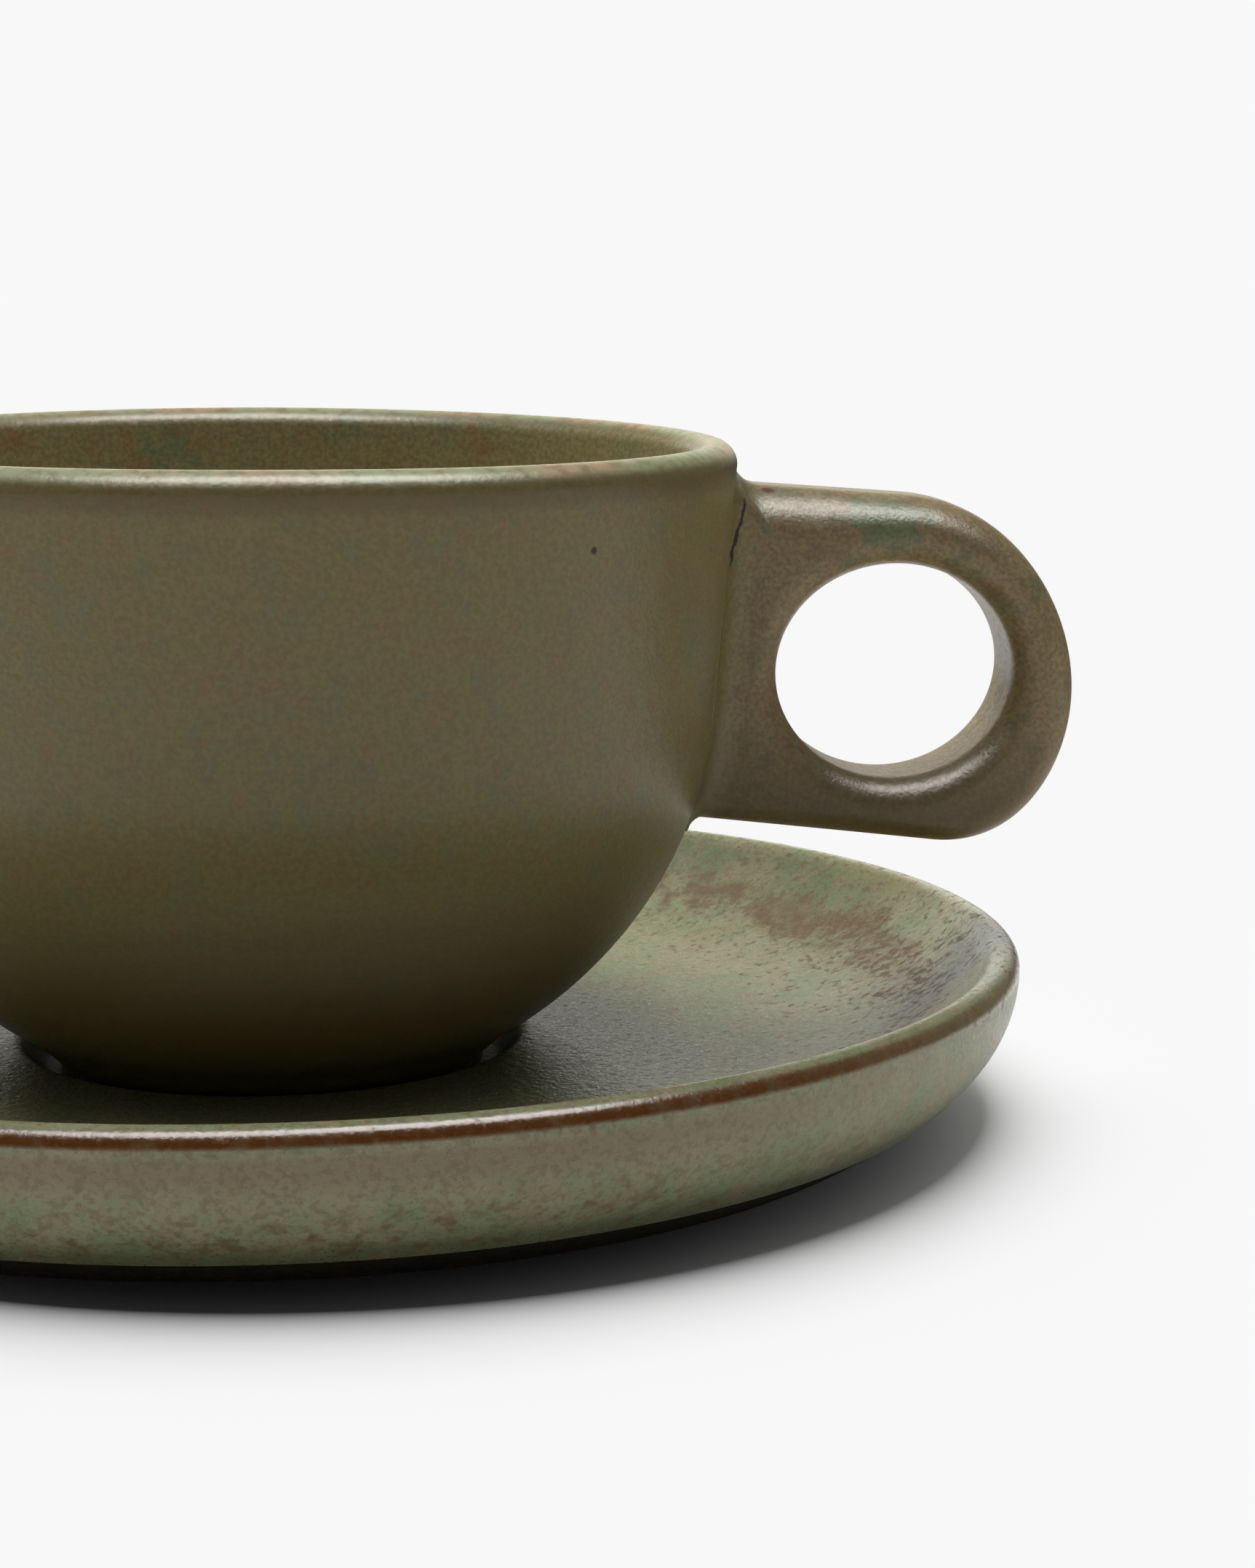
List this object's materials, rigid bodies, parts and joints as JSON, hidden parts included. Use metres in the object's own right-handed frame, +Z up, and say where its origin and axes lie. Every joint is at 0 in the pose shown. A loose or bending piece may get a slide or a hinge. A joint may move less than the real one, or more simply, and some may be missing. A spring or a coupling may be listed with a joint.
{
  "type": "lungo cup with saucer",
  "caption": "Stoneware coffee cup with a flat ear handle, standing in the sunk seat of a shallow dished saucer that it lifts off.",
  "frame": {"origin": "middle of the saucer's foot on the table, on the axis of cup and saucer", "axes": "+Z up along the axis of cup and saucer, +X towards the handle"},
  "size_m": [0.1557, 0.1496, 0.0679],
  "materials": {
    "cup_glaze": "satin mottled olive-brown glaze",
    "handle_glaze": "satin mottled grey-brown glaze",
    "saucer_glaze": "satin sage-green glaze with brown speckles"
  },
  "bodies": {
    "saucer": {"saucer": "saucer_glaze"},
    "cup": {"cup_body": "cup_glaze", "cup_handle": "handle_glaze"}
  },
  "joints": [
    {"name": "cup_lift", "type": "slide", "parent": "saucer", "child": "cup", "axis": [0, 0, 1], "range_m": [0, 0.08]}
  ]
}
